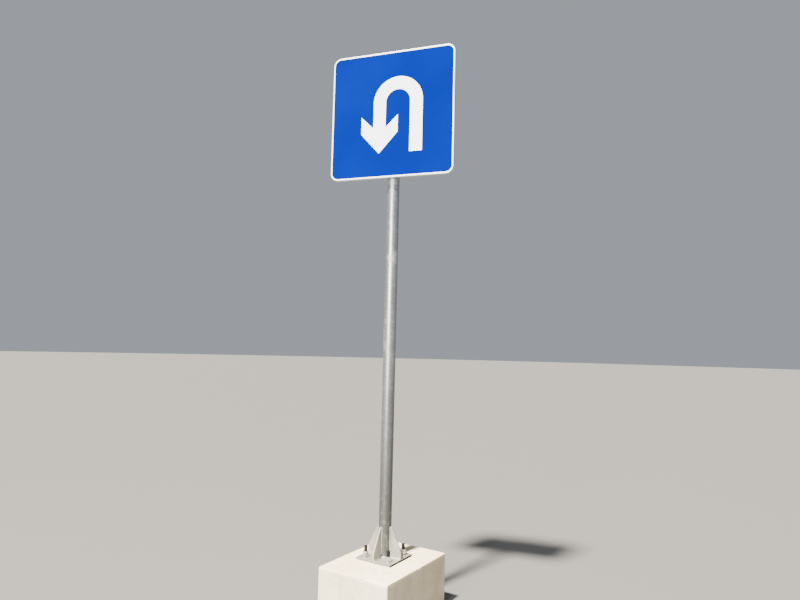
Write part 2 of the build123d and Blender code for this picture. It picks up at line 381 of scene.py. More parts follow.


# Cream fair-faced concrete: cement clouding, sand grains, pin holes, a few damp streaks, soil at the ground.
# The sides are painted greyer than the top as shade, and pits and cracks are painted dark as shade.
concreteLook = {
    "cream": (0.73, 0.59, 0.38), "pale": (0.87, 0.75, 0.53), "grey": (0.42, 0.37, 0.28),
    # The last colour is painted shade for the insides of pits and cracks
    "soil": (0.40, 0.32, 0.22), "hole": (0.22, 0.19, 0.15),
    "clouds": (3.2, 5.0, 0.6, 0.4), "cloudStep": (0.36, 0.66),
    "mottle": (19.0, 6.0, 0.62), "mottleStep": (0.50, 0.78), "mottleShare": 0.55,
    "sand": 420.0, "sandShare": 0.35,
    "specks": 170.0, "speckStep": (0.10, 0.24), "speckShare": 0.40,
    "speckPlaces": ((60.0, 2.0), (0.50, 0.60)),
    # How far under the top the sides begin, and the share of grey painted on them as shade
    "topReach": (0.03, 0.008), "damp": 0.34,
    "streakMark": ((1.0, 5.0, 0.6), (0.52, 0.72)), "streaksAlong": (26.0, 26.0, 2.2), "streakShare": 0.45,
    "soilTop": 0.11, "soilStep": (0.28, 0.60), "soilShare": 0.7,
    "pits": 58.0, "pitStep": (0.05, 0.13), "pitShare": 0.85, "pitsOnTop": 0.25,
    "pitPlaces": ((37.0, 1.0), (0.50, 0.56)),
    "cracks": 3.4, "crackWarp": (9.0, 5.0), "crackWarpBy": 0.09, "crackStep": (0.0010, 0.0034),
    "crackShare": 0.55, "crackPlaces": ((4.5, 2.0), (0.50, 0.60)),
    "fine": (190.0, 6.0, 0.7), "rough": 0.80, "fineRough": 0.16,
    "relief": {"fine": 0.6, "mottle": 0.8, "pits": 1.8, "cracks": 0.5}, "bump": (0.0017, 0.85),
}


# Cream and pale clouds, grey mottle and specks, then painted shade and damp streaks below the top, soil,
# and pits and cracks painted dark as the shade inside them
def concreteFinish(name, look):
    f = Finish(name)
    cloud = f.noise(*look["clouds"])
    mottle = f.noise(*look["mottle"])
    colour = f.mix(cloud.smooth(*look["cloudStep"]), look["cream"], look["pale"])
    colour = f.mix(mottle.smooth(*look["mottleStep"]) * look["mottleShare"], colour, look["grey"])
    sand = f.cells(look["sand"], output="Color")
    colour = f.mix(look["sandShare"], colour, sand, "SOFT_LIGHT")
    specks = (1.0 - f.cells(look["specks"]).smooth(*look["speckStep"])) * f.mark(look["speckPlaces"])
    colour = f.mix(specks * look["speckShare"], colour, look["grey"])
    z = f.axes()[2]
    below = 1.0 - z.nearing(plinthHeight, look["topReach"])
    streak = f.mark(look["streakMark"], f.stretched(look["streaksAlong"]))
    # Sides below the top: painted shade everywhere, and damp streaks over it
    colour = f.mix((below * (look["damp"] + streak * look["streakShare"])).clamp(), colour, look["grey"])
    foot = (1.0 - z.smooth(0.0, look["soilTop"])) * mottle.smooth(*look["soilStep"]) * look["soilShare"]
    colour = f.mix(foot.clamp(), colour, look["soil"])
    spots = f.cells(look["pits"])
    chosen = f.mark(look["pitPlaces"])
    onTop = look["pitsOnTop"]
    pits = (1.0 - spots.smooth(*look["pitStep"])) * chosen * (onTop + below * (1.0 - onTop))
    # Pits, and the cracks below, painted dark as the shade inside them
    colour = f.mix(pits * look["pitShare"], colour, look["hole"])
    crack = hairCracks(f, look)
    colour = f.mix(crack * look["crackShare"], colour, look["hole"])
    fine = f.noise(*look["fine"])
    deep = look["relief"]
    relief = fine * deep["fine"] + mottle * deep["mottle"] - pits * deep["pits"] - crack * deep["cracks"]
    relief = f.bump(relief, *look["bump"])
    rough = (look["rough"] + fine * look["fineRough"]).clamp()
    return f.done(Base_Color=colour, Roughness=rough, Normal=relief)


# Thin shrinkage cracks: the borders of very large warped cells, shown only where a broad noise is high
def hairCracks(f, look):
    warped = f.warped(look["crackWarp"], look["crackWarpBy"])
    line = 1.0 - f.cells(look["cracks"], "DISTANCE_TO_EDGE", place=warped).smooth(*look["crackStep"])
    return line * f.mark(look["crackPlaces"])


# Retroreflective film: glossy top layer over fine diamond cells, hardly seen from afar, slightly wavy
filmLook = {
    "cells": 170.0, "seamStep": (0.02, 0.09),
    "age": (2.4, 4.0, 0.55), "ageStep": (0.30, 0.72), "ageShare": 0.45,
    "dustMark": ((70.0, 6.0, 0.7), (0.55, 0.75)), "rough": 0.11, "rougher": {"dust": 0.12, "age": 0.05},
    "wave": (5.0, 2.0, 0.4), "grain": (900.0, 2.0), "relief": {"wave": 6.0, "grain": 0.05},
    "bump": (0.0010, 0.35), "coat": 0.02, "coatRough": 0.06, "specular": 0.04,
}
blueLook = {**filmLook, "colour": (0.0001, 0.0070, 0.125), "faded": (0.0003, 0.0115, 0.17), "seamShare": 0.75}
whiteLook = {**filmLook, "colour": (0.90, 0.94, 0.98), "faded": (0.80, 0.84, 0.90), "seamShare": 0.65}


# Seams are the borders of square cells over (x + z, x - z), and the colour is paler there and with age
def signFilm(name, look):
    f = Finish(name)
    x, _, z = f.axes()
    slanted = f.node("ShaderNodeCombineXYZ", {}, {0: x + z, 1: x - z, 2: 0.0})
    seams = f.cells(look["cells"], "DISTANCE_TO_EDGE", place=slanted, randomness=0.0)
    seams = 1.0 - seams.smooth(*look["seamStep"])
    age = f.noise(*look["age"])
    dust = f.mark(look["dustMark"])
    paler = (age.smooth(*look["ageStep"]) * look["ageShare"] + seams * look["seamShare"]).clamp()
    tint = f.mix(paler, look["colour"], look["faded"])
    wave = f.noise(*look["wave"])
    more, deep = look["rougher"], look["relief"]
    relief = f.bump(wave * deep["wave"] + f.noise(*look["grain"]) * deep["grain"], *look["bump"])
    rough = (look["rough"] + dust * more["dust"] + age * more["age"]).clamp()
    return f.done(Base_Color=tint, Roughness=rough, Normal=relief, Coat_Weight=look["coat"],
                  Coat_Roughness=look["coatRough"], Specular_IOR_Level=look["specular"])


# Mill-finish sheet and extrusion: fine lines along the rolling direction and dull oxide clouds. linesAlong is
# how fast the lines change along x, y and z, in cells per metre.
rolledLook = {
    "lines": (1.0, 4.0, 0.6), "lineShare": 0.55, "clouds": (5.0, 4.0, 0.6), "cloudShare": 0.55,
    "shadeStep": (0.30, 0.80), "scuffMark": ((48.0, 5.0, 0.7, 0.8), (0.60, 0.72)), "scuffShare": 0.25,
    "metallic": 0.85, "rougher": {"clouds": 0.14, "scuffs": 0.12}, "bump": (0.00025, 0.5),
}
sheetLook = {**rolledLook, "light": (0.66, 0.67, 0.68), "dark": (0.50, 0.51, 0.53),
             "linesAlong": (3.0, 3.0, 240.0), "rough": 0.36}
railLook = {**rolledLook, "light": (0.74, 0.745, 0.75), "dark": (0.58, 0.585, 0.60),
            "linesAlong": (2.0, 260.0, 260.0), "rough": 0.30}
rivetLook = {**rolledLook, "light": (0.78, 0.78, 0.79), "dark": (0.62, 0.62, 0.63),
             "linesAlong": (90.0, 90.0, 90.0), "rough": 0.28}


# Shade = noise stretched along the rolling direction plus clouds, with scuffs where a fine noise is high
def rolledAluminium(name, look):
    f = Finish(name)
    line = f.noise(*look["lines"], place=f.stretched(look["linesAlong"]))
    cloud = f.noise(*look["clouds"])
    scuffs = f.mark(look["scuffMark"])
    shade = (line * look["lineShare"] + cloud * look["cloudShare"]).smooth(*look["shadeStep"])
    tint = f.mix(shade, look["dark"], look["light"])
    tint = f.mix(scuffs * look["scuffShare"], tint, look["dark"])
    more = look["rougher"]
    rough = (look["rough"] + cloud * more["clouds"] + scuffs * more["scuffs"]).clamp()
    return f.done(Base_Color=tint, Metallic=look["metallic"], Roughness=rough,
                  Normal=f.bump(line, *look["bump"]))


# Zinc-plated nuts and washers: brighter than the dipped steel, with dull corners and a little dust
nutLook = {
    "light": (0.52, 0.525, 0.52), "dark": (0.34, 0.345, 0.345), "worn": (0.22, 0.20, 0.17), "metallic": 0.85,
    "patches": (90.0, 4.0, 0.6), "patchStep": (0.35, 0.70),
    "wearMark": ((260.0, 4.0, 0.7), (0.52, 0.70)), "wearShare": 0.40,
    "rough": 0.26, "rougher": {"patches": 0.2, "wear": 0.2}, "wearRelief": 0.5, "bump": (0.0003, 0.6),
}


# Patches between dark and light, with worn spots where a fine noise is high
def zincPlate(name, look):
    f = Finish(name)
    patch = f.noise(*look["patches"])
    wear = f.mark(look["wearMark"])
    tint = f.mix(patch.smooth(*look["patchStep"]), look["dark"], look["light"])
    tint = f.mix(wear * look["wearShare"], tint, look["worn"])
    more = look["rougher"]
    rough = (look["rough"] + patch * more["patches"] + wear * more["wear"]).clamp()
    return f.done(Base_Color=tint, Metallic=look["metallic"], Roughness=rough,
                  Normal=f.bump(patch + wear * look["wearRelief"], *look["bump"]))


# Oiled black rod ends with a breath of rust in the threads
rodLook = {
    "black": (0.008, 0.0075, 0.007), "rust": (0.065, 0.036, 0.022), "metallic": 0.45, "specular": 0.25,
    "rustFine": (130.0, 6.0, 0.7), "rustBroad": (36.0, 3.0), "rustStep": (0.24, 0.38), "rustShare": 0.30,
    "grain": (700.0, 3.0), "rough": 0.50, "rustRough": 0.3, "bump": (0.0002, 0.5),
}


# Black metal, with rust that isn't metallic where the product of two noises is high
def blackRod(name, look):
    f = Finish(name)
    rust = (f.noise(*look["rustFine"]) * f.noise(*look["rustBroad"])).smooth(*look["rustStep"])
    tint = f.mix(rust * look["rustShare"], look["black"], look["rust"])
    grain = f.noise(*look["grain"])
    return f.done(Base_Color=tint, Metallic=(look["metallic"] - rust * look["metallic"]).clamp(),
                  Roughness=(look["rough"] + rust * look["rustRough"]).clamp(),
                  Normal=f.bump(grain + rust, *look["bump"]), Specular_IOR_Level=look["specular"])


# Moulded cap: grey plastic with a fine leather-like grain, chalked by weather
capLook = {
    "grey": (0.030, 0.031, 0.034), "chalk": (0.085, 0.085, 0.088), "specular": 0.3,
    "chalkMark": ((30.0, 5.0, 0.6), (0.45, 0.75)), "chalkShare": 0.5,
    "grain": 900.0, "rough": 0.50, "chalkRough": 0.2, "bump": (0.0002, 0.4),
}


# Grey, with chalk where a noise is high and small cells as its grain
def capPlastic(name, look):
    f = Finish(name)
    chalk = f.mark(look["chalkMark"])
    grain = f.cells(look["grain"])
    tint = f.mix(chalk * look["chalkShare"], look["grey"], look["chalk"])
    return f.done(Base_Color=tint, Roughness=(look["rough"] + chalk * look["chalkRough"]).clamp(),
                  Normal=f.bump(grain, *look["bump"]), Specular_IOR_Level=look["specular"])


# Floor: one pale tone with the faintest cloudiness
def paleFloor(name, look):
    f = Finish(name)
    cloud = f.noise(*look["floorClouds"])
    darker = tuple(look["floorDarker"] * c for c in look["floorColour"])
    return f.done(Base_Color=f.mix(cloud, darker, look["floorColour"]), Roughness=look["floorRough"])


finishes = {
    "post": zincCoat("zincOnPost", postLook),
    "foot": zincCoat("zincOnFoot", footLook),
    "clamp": zincCoat("zincOnClamps", clampLook),
    "weld": zincCoat("zincOnWelds", weldLook),
    "concrete": concreteFinish("creamConcrete", concreteLook),
    "blue": signFilm("blueFilm", blueLook),
    "white": signFilm("whiteFilm", whiteLook),
    "sheet": rolledAluminium("panelSheet", sheetLook),
    "rail": rolledAluminium("railExtrusion", railLook),
    "rivet": rolledAluminium("rivetHeads", rivetLook),
    "nut": zincPlate("zincNuts", nutLook),
    "rod": blackRod("blackRods", rodLook),
    "cap": capPlastic("greyCap", capLook),
}
print("stage:", len(finishes), "finishes made")


# A grid of points (rows, columns, 3) as four-sided faces: the face at (r, c) joins points (r, c), (r, c + 1),
# (r + 1, c + 1) and (r + 1, c). wrapRows or wrapColumns joins the last line to the first.
def gridMesh(points, wrapRows=False, wrapColumns=False, flip=False):
    rows, columns = points.shape[:2]
    r = np.arange(rows if wrapRows else rows - 1)
    c = np.arange(columns if wrapColumns else columns - 1)
    r, c = np.meshgrid(r, c, indexing="ij")
    r2, c2 = (r + 1) % rows, (c + 1) % columns
    quads = np.stack([r * columns + c, r * columns + c2, r2 * columns + c2, r2 * columns + c], -1)
    quads = quads.reshape(-1, 4)
    return points.reshape(-1, 3), quads[:, ::-1] if flip else quads


# A finished mesh as a new object under its name: it hides the imported nodes it stands for and rides the root
# body
def addPiece(name, mesh, replaced):
    piece = newObject(name, mesh)
    if replaced:
        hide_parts(*replaced)
    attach(piece, "root")
    return piece


# Several grids as one mesh object: points closer than merge are joined, slivers thinner than a tenth of that
# are dissolved, and normals set outwards. Edges blunter than smooth degrees are shaded round, and with smooth
# 0 every face is flat.
def makePiece(name, grids, material, replaced=(), merge=2e-6, smooth=40.0):
    verts, faces, at = [], [], 0
    for points, quads in grids:
        verts.append(points)
        faces.append(quads + at)
        at += len(points)
    verts, faces = np.concatenate(verts), np.concatenate(faces)
    mesh = bpy.data.meshes.new(name)
    mesh.vertices.add(len(verts))
    mesh.vertices.foreach_set("co", verts.astype(np.float32).ravel())
    mesh.loops.add(faces.size)
    mesh.loops.foreach_set("vertex_index", faces.astype(np.int32).ravel())
    mesh.polygons.add(len(faces))
    mesh.polygons.foreach_set("loop_start", np.arange(0, faces.size, 4, dtype=np.int32))
    mesh.update(calc_edges=True)
    work = bmesh.new()
    work.from_mesh(mesh)
    bmesh.ops.remove_doubles(work, verts=work.verts, dist=merge)
    bmesh.ops.dissolve_degenerate(work, edges=work.edges, dist=merge / 10)
    bmesh.ops.recalc_face_normals(work, faces=work.faces)
    work.to_mesh(mesh)
    work.free()
    mesh.materials.append(material)
    if smooth:
        mesh.shade_smooth()
        mesh.set_sharp_from_angle(angle=math.radians(smooth))
    else:
        mesh.shade_flat()
    addPiece(name, mesh, replaced)


# Large odd numbers that turn a lattice corner's place into one that looks random
hashing = {"x": 73856093, "y": 19349663, "z": 83492791, "seed": 2654435761, "scramble": 1274126177,
           "shifts": (13, 16), "kept": 0xFFFFFF}


# Value noise: random numbers on a lattice, blended with a smooth step between neighbours, from -1 to 1
def latticeNoise(points, size, seed):
    scaled = points / size
    cell = np.floor(scaled).astype(np.int64)
    part = scaled - cell
    part = part * part * (3.0 - 2.0 * part)
    total = np.zeros(points.shape[:-1])
    first, second = (np.uint64(shift) for shift in hashing["shifts"])
    for corner in np.ndindex(2, 2, 2):
        k = (cell + np.array(corner)).astype(np.uint64)
        mixed = (k[..., 0] * np.uint64(hashing["x"])) ^ (k[..., 1] * np.uint64(hashing["y"])) ^ (
            k[..., 2] * np.uint64(hashing["z"])) ^ np.uint64(seed * hashing["seed"])
        mixed = (mixed ^ (mixed >> first)) * np.uint64(hashing["scramble"])
        mixed = (mixed ^ (mixed >> second)) & np.uint64(hashing["kept"])
        weight = np.prod(np.where(np.array(corner) == 1, part, 1.0 - part), axis=-1)
        total += weight * (mixed / float(hashing["kept"]) * 2.0 - 1.0)
    return total


# Plinth: a box with rounded arrises, sunk a little everywhere by noise and more where its edges are chipped
plinth = {"arris": 0.007, "steps": 74, "edgeCrowding": 0.75, "unevenness": 0.0011, "waveSize": 0.09,
          "waveShare": 0.7, "grainSize": 0.012, "grainShare": 0.35, "chipDepth": 0.0075, "chipSize": 0.034,
          "chipReach": 0.020, "chipGain": 1.7, "chipsFrom": 0.75, "wearPower": 1.5, "levelFoot": 0.01,
          "waveSeed": 2, "grainSeed": 3, "chipSeed": 5}


# Each face is a grid of (u, v) from -1 to 1, crowded towards the edges by u = sin(k a) / sin(k).
# A point is the nearest point of the inner box plus the arris radius outwards, less how far it is sunk: waves
# and grain everywhere, and chips where noise passes chipsFrom, fading from the edge over chipReach.
def plinthGrids(low, high, v):
    centre, half = (low + high) / 2, (high - low) / 2
    reach = v["edgeCrowding"] * math.pi / 2
    line = np.sin(np.linspace(-reach, reach, v["steps"])) / math.sin(reach)
    u, w = np.meshgrid(line, line, indexing="ij")
    grids = []
    for axis in range(3):
        for side in (-1.0, 1.0):
            box = np.zeros(u.shape + (3,))
            box[..., axis] = side
            box[..., (axis + 1) % 3] = u
            box[..., (axis + 2) % 3] = w
            box *= half
            inner = np.clip(box, -(half - v["arris"]), half - v["arris"])
            out = box - inner
            out /= np.linalg.norm(out, axis=-1, keepdims=True)
            points = inner + out * v["arris"]
            toEdge = np.sort(half - np.abs(points), axis=-1)[..., 1]
            wear = np.clip(1.0 - toEdge / v["chipReach"], 0.0, 1.0)
            chips = latticeNoise(points, v["chipSize"], v["chipSeed"]) * v["chipGain"] - v["chipsFrom"]
            waves = latticeNoise(points, v["waveSize"], v["waveSeed"])
            grain = latticeNoise(points, v["grainSize"], v["grainSeed"])
            sunk = v["unevenness"] * (1.0 + waves) * v["waveShare"]
            sunk = sunk + v["unevenness"] * v["grainShare"] * (1.0 + grain)
            sunk = sunk + v["chipDepth"] * np.clip(chips, 0.0, 1.0) * wear ** v["wearPower"]
            sunk = sunk * np.clip((points[..., 2] + half[2]) / v["levelFoot"], 0.0, 1.0)
            grids.append(gridMesh(points - out * sunk[..., None] + centre))
    return grids


# The plinth's six grids, made square to it and then turned with the foot
def makePlinth(v):
    low, high = squareBox("foundation_block")
    grids = [(turned(points, baseTurn), quads) for points, quads in plinthGrids(low, high, v)]
    makePiece("plinthBlock", grids, finishes["concrete"], ["foundation_block"], merge=2e-5)


makePlinth(plinth)
print("stage: plinth made")


# Post: the outline of its wall carried round the axis, up the outside, over the eased end, down the bore
# and back
post = {"around": 128, "ringSpacing": 0.05, "easedBy": 0.0006, "easePoints": 4}


# Each point of the outline at (radius, height) becomes (radius cos a, radius sin a, height)
def makePost(v):
    bore = np.hypot(*pointsOf("post_tube")[:, :2].T).min()  # the nearest any of its points comes to the axis
    bottom, top, ease = postLow[2], postHigh[2], v["easedBy"]
    rising = np.linspace(bottom, top - ease, int((top - bottom) / v["ringSpacing"]))
    quarter = np.linspace(0.0, math.pi / 2, v["easePoints"])
    radius = np.r_[0 * rising + postRadius, postRadius - ease + ease * np.cos(quarter),
                   bore + ease - ease * np.sin(quarter), 0 * rising + bore]
    height = np.r_[rising, top - ease + ease * np.sin(quarter), top - ease + ease * np.cos(quarter),
                   rising[::-1]]
    angle = np.linspace(0.0, 2 * math.pi, v["around"], endpoint=False)
    r, a = np.meshgrid(radius, angle, indexing="ij")
    grid = np.stack([r * np.cos(a), r * np.sin(a), np.broadcast_to(height[:, None], r.shape)], -1)
    makePiece("postTube", [gridMesh(grid, wrapRows=True, wrapColumns=True)], finishes["post"],
              ["post_tube"])


makePost(post)
print("stage: post made")


# Plates, gussets, clamps, rails, nuts and washers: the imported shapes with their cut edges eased. Points
# closer than merge metres are joined, and faces within flat degrees of each other become one.
mending = {"merge": 1e-6, "flat": 1.0}
easedEdges = {
    "plate": {"width": 0.0012, "segments": 2, "angle": 40.0},
    "clamp": {"width": 0.0007, "segments": 2, "angle": 40.0},
    "rail": {"width": 0.0004, "segments": 2, "angle": 40.0},
    "nut": {"width": 0.0003, "segments": 1, "angle": 40.0},
}


# A copy of the node under its own name in camelCase, with doubles merged and flat faces made whole first
def easedCopy(node, material, v):
    first, *rest = node.split("_")
    name = first + "".join(word.capitalize() for word in rest)
    mesh = nodes[node].data.copy()
    mesh.name = name
    work = bmesh.new()
    work.from_mesh(mesh)
    bmesh.ops.remove_doubles(work, verts=work.verts, dist=mending["merge"])
    flat = math.radians(mending["flat"])
    bmesh.ops.dissolve_limit(work, angle_limit=flat, verts=work.verts, edges=work.edges)
    bmesh.ops.recalc_face_normals(work, faces=work.faces)
    work.to_mesh(mesh)
    work.free()
    mesh.materials.clear()
    mesh.materials.append(material)
    mesh.shade_smooth()
    mesh.set_sharp_from_angle(angle=math.radians(v["angle"]))
    piece = addPiece(name, mesh, [node])
    bevel = piece.modifiers.new("easedEdge", "BEVEL")
    bevel.width = v["width"]
    bevel.segments = v["segments"]
    bevel.limit_method = "ANGLE"
    bevel.angle_limit = math.radians(v["angle"])
    bevel.harden_normals = True


for name in nodes:
    if name.startswith(("base_plate", "gusset")):
        easedCopy(name, finishes["foot"], easedEdges["plate"])
    elif name.startswith(("saddle", "strap")):
        easedCopy(name, finishes["clamp"], easedEdges["clamp"])
    elif name.startswith("rail"):
        easedCopy(name, finishes["rail"], easedEdges["rail"])
    elif name.startswith(("anchor_nut", "anchor_lock_nut", "anchor_washer", "clamp_nut", "clamp_washer")):
        easedCopy(name, finishes["nut"], easedEdges["nut"])
print("stage: eased copies made")


# Weld beads: a convex bead laid in a corner. At each place along the path the section is a fan of points
# from one leg to the other, bulged outwards, and its size ripples as the welder's hand moved on.
welds = {"postLeg": 0.0065, "gussetLeg": 0.0050, "ripple": 0.0034, "depth": 0.10, "bulge": 1.12, "sunk": 0.08,
         "wander": 0.07, "wanderRate": 190.0, "startShift": 90.0, "tremble": 0.04, "trembleRate": 613.0,
         "hollow": 1.3, "leastEnd": 0.02, "sectionPoints": 9, "step": 0.0009, "leastSteps": 8, "around": 340,
         "stemLean": 0.3, "gussetThickness": 0.008, "gussetReach": 0.115, "gussetTop": 0.170, "snipe": 0.014}


# A point is its place on the path plus scale times (a times the first leg + b times the second leg)
def beadGrid(path, legA, legB, size, v, closed=False):
    along = np.r_[0.0, np.cumsum(np.linalg.norm(np.diff(path, axis=0), axis=1))]
    phase = along / v["ripple"]
    ripple = 1.0 - v["depth"] * (phase - np.floor(phase)) ** 2
    wander = 1.0 + v["wander"] * np.sin(along * v["wanderRate"] + path[0, 2] * v["startShift"])
    wander = wander + v["tremble"] * np.sin(along * v["trembleRate"])
    scale = size * ripple * wander
    if not closed:
        toEnd = np.minimum(along, along[-1] - along) / size
        scale = scale * np.sqrt(np.clip(toEnd * (2.0 - np.clip(toEnd, 0.0, 1.0)), v["leastEnd"], 1.0))
    fan = np.linspace(0.0, math.pi / 2, v["sectionPoints"] - 1)
    bulge = 1.0 + (v["bulge"] - 1.0) * np.sin(2.0 * fan)
    a = np.r_[-v["sunk"], np.cos(fan) ** v["hollow"] * bulge]
    b = np.r_[-v["sunk"], np.sin(fan) ** v["hollow"] * bulge]
    section = a[None, :, None] * legA[:, None] + b[None, :, None] * legB[:, None]
    return path[:, None] + scale[:, None, None] * section


# The same direction at each of count places
def fixedLeg(direction, count):
    return np.repeat(np.array(direction, float)[None], count, axis=0)


# A bead whose path is a straight line from start to stop
def straightBead(start, stop, legA, legB, size, v):
    start, stop = np.array(start, float), np.array(stop, float)
    count = max(v["leastSteps"], int(np.linalg.norm(stop - start) / v["step"]))
    path = start + (stop - start) * np.linspace(0.0, 1.0, count)[:, None]
    return beadGrid(path, fixedLeg(legA, count), fixedLeg(legB, count), size, v)


# The grid with its first and last lines drawn in to their own middles, which closes the ends
def capped(points):
    first = np.repeat(points[:1].mean(1, keepdims=True), points.shape[1], axis=1)
    last = np.repeat(points[-1:].mean(1, keepdims=True), points.shape[1], axis=1)
    return np.concatenate([first, points, last])


# One bead round the post, and four to each gusset: along its foot and up its stem, on both of its sides
def makeWelds(v):
    half = v["gussetThickness"] / 2
    around = np.linspace(0.0, 2 * math.pi, v["around"], endpoint=False)
    out = np.stack([np.cos(around), np.sin(around), 0 * around], -1)
    path = out * postRadius + np.array([0.0, 0.0, plateTop])
    ring = beadGrid(path, out, fixedLeg((0, 0, 1), len(out)), v["postLeg"], v, closed=True)
    makePiece("postWeld", [gridMesh(ring, wrapRows=True, wrapColumns=True)], finishes["weld"],
              smooth=60.0)
    flush = math.sqrt(postRadius ** 2 - half ** 2)
    for number, side in enumerate(("Right", "Rear", "Left", "Front")):
        grids = []
        for hand in (-1.0, 1.0):
            y = hand * half
            foot = straightBead((postRadius + v["snipe"], y, plateTop), (v["gussetReach"], y, plateTop),
                                (0, hand, 0), (0, 0, 1), v["gussetLeg"], v)
            stem = straightBead((flush, y, plateTop + v["snipe"]), (flush, y, plateTop + v["gussetTop"]),
                                (v["stemLean"], hand, 0), (1, 0, 0), v["gussetLeg"], v)
            for bead in (foot, stem):
                points, quads = gridMesh(capped(bead), wrapColumns=True)
                grids.append((turned(points, baseTurn + number * math.pi / 2), quads))
        makePiece("gussetWeld" + side, grids, finishes["weld"], smooth=60.0)


makeWelds(welds)
print("stage: welds made")


# Threaded rod: a cylinder whose radius follows a helix. With phase = height / pitch - turn / full turn, the
# radius drops from crest to root as a flattened triangle wave of the phase, and the end is turned to a cone.
threadForm = {"flank": 1.25, "crest": 0.12, "perPitch": 6}
anchorThread = {**threadForm, "pitch": 0.0025, "depth": 0.00135, "below": 0.004, "tipCone": 0.0018,
                "around": 40}
clampBolt = {**threadForm, "pitch": 0.0015, "depth": 0.0009, "below": 0.016, "tipCone": 0.0011, "around": 36,
             "radius": 0.005, "flats": 0.017, "headHeight": 0.0064, "easedBy": 0.0016, "faceShare": 0.97,
             "cornerShare": 1.04}


# Rings from bottom to top, each point at (r cos a, r sin a, z), with a middle point at each end
def threadGrid(radius, bottom, threadFrom, top, v):
    turns = (top - threadFrom) / v["pitch"]
    z = np.r_[bottom, np.linspace(threadFrom, top, int(turns * v["perPitch"]) + 1)]
    angle = np.linspace(0.0, 2 * math.pi, v["around"], endpoint=False)
    z2, a2 = np.meshgrid(z, angle, indexing="ij")
    phase = z2 / v["pitch"] - a2 / (2 * math.pi)
    wave = np.abs(2.0 * (phase - np.floor(phase)) - 1.0)
    groove = np.clip(wave * v["flank"] - v["crest"], 0.0, 1.0) * v["depth"]
    groove[0] = 0.0
    r = np.minimum(radius - groove, radius - v["tipCone"] + (top - z2))
    points = np.stack([r * np.cos(a2), r * np.sin(a2), z2], -1)
    foot = np.zeros((1,) + points.shape[1:]) + np.array([0.0, 0.0, bottom])
    head = np.zeros((1,) + points.shape[1:]) + np.array([0.0, 0.0, top])
    return np.concatenate([foot, points, head])


# Four threaded rods, each set over the middle of its packed one
def makeAnchorRods(v):
    for number in range(1, 5):
        node = f"anchor_rod_{number}"
        low, high = boxOf(node)
        grid = threadGrid((high[0] - low[0]) / 2, low[2], plateTop - v["below"], high[2], v)
        grid[..., :2] += (low[:2] + high[:2]) / 2
        makePiece(f"anchorRod{number}", [gridMesh(grid, wrapColumns=True)], finishes["rod"],
                  [node], smooth=35.0)


# Clamp bolt: the head is a round whose radius follows a hexagon, radius = half the width across the flats
# / cos(angle from the nearest flat's middle)
def boltGrid(length, v):
    angle = np.linspace(0.0, 2 * math.pi, v["around"], endpoint=False)
    toFlat = (angle + math.pi / 6) % (math.pi / 3) - math.pi / 6
    half, top = v["flats"] / 2, v["headHeight"]
    hexagon = half / np.cos(toFlat)
    rows = [(np.minimum(hexagon, half * v["faceShare"]), 0.0),
            (np.minimum(hexagon, half * v["cornerShare"]), v["easedBy"] / 2),
            (hexagon, v["easedBy"]), (hexagon, top), (0 * angle + v["radius"], top)]
    head = np.stack([np.stack([r * np.cos(angle), r * np.sin(angle), 0 * angle + z], -1) for r, z in rows])
    start = np.zeros((1,) + head.shape[1:])
    shank = threadGrid(v["radius"], top, length - v["below"], length, v)[1:]
    return np.concatenate([start, head, shank])


# Four bolts laid along y: the grid's height becomes y, and its y becomes -z
def makeClampBolts(v):
    for level in ("upper", "lower"):
        for side in ("left", "right"):
            node = f"clamp_bolt_{level}_{side}"
            low, high = boxOf(node)
            grid = boltGrid(high[1] - low[1], v)
            middle = (low + high) / 2
            placed = np.stack([grid[..., 0] + middle[0], grid[..., 2] + low[1], middle[2] - grid[..., 1]], -1)
            makePiece(f"clampBolt{level.capitalize()}{side.capitalize()}",
                      [gridMesh(placed, wrapColumns=True)], finishes["nut"], [node],
                      smooth=35.0)


makeAnchorRods(anchorThread)
makeClampBolts(clampBolt)
print("stage: threads made")


# Sign face: blue field, white edge band and the white turning arrow, all as cut film
face = {"blueHalf": 0.3893, "blueCorner": 0.0393, "edgeHalf": 0.397, "edgeCorner": 0.047, "cornerPoints": 24,
        "rings": 12, "blueFilm": 0.00028, "edgeFilm": 0.00040, "arrowFilm": 0.00018}
arrow = {"stroke": 0.081, "bendX": 0.0415, "bendZ": 0.075, "bendRadius": 0.119, "footZ": -0.246,
         "headHalf": 0.120, "barbTop": -0.006, "barbFoot": -0.115, "notchZ": -0.082, "tipZ": -0.245,
         "bendPoints": 72, "acrossPoints": 5, "headRows": 4}


# Outline of a square with round corners, as points of four straight sides and four quarter circles
def roundedSquare(half, corner, perCorner):
    quarter = np.linspace(0.0, math.pi / 2, perCorner)
    turns = [quarter + n * math.pi / 2 for n in range(4)]
    signs = ((1, 1), (-1, 1), (-1, -1), (1, -1))
    centres = [((half - corner) * sx, (half - corner) * sz) for sx, sz in signs]
    return np.concatenate([np.stack([cx + corner * np.cos(t), cz + corner * np.sin(t)], -1)
                           for t, (cx, cz) in zip(turns, centres)])


# Film on a flat grid of (x, z): the front sheet lies its thickness before the back one, towards -Y, and
# strips join their borders. A ring's columns close on themselves, and a filled ring has its centre as its
# first row.
def filmGrids(flat, back, thickness, ring=False, filled=False):
    across, up = flat[..., 0], flat[..., 1] + panelCentre
    front = np.stack([across, np.full(across.shape, back - thickness), up], -1)
    rear = np.stack([across, np.full(across.shape, back), up], -1)
    strips = [np.stack([front[n], rear[n]]) for n in ((-1,) if filled else (0, -1))]
    if not ring:
        strips += [np.stack([front[:, n], rear[:, n]]) for n in (0, -1)]
    return [gridMesh(grid, wrapColumns=ring) for grid in (front, rear, *strips)]


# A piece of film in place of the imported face
def makeFilm(name, grids, finish):
    makePiece(name, grids, finishes[finish], ["face_sheeting"], smooth=0)


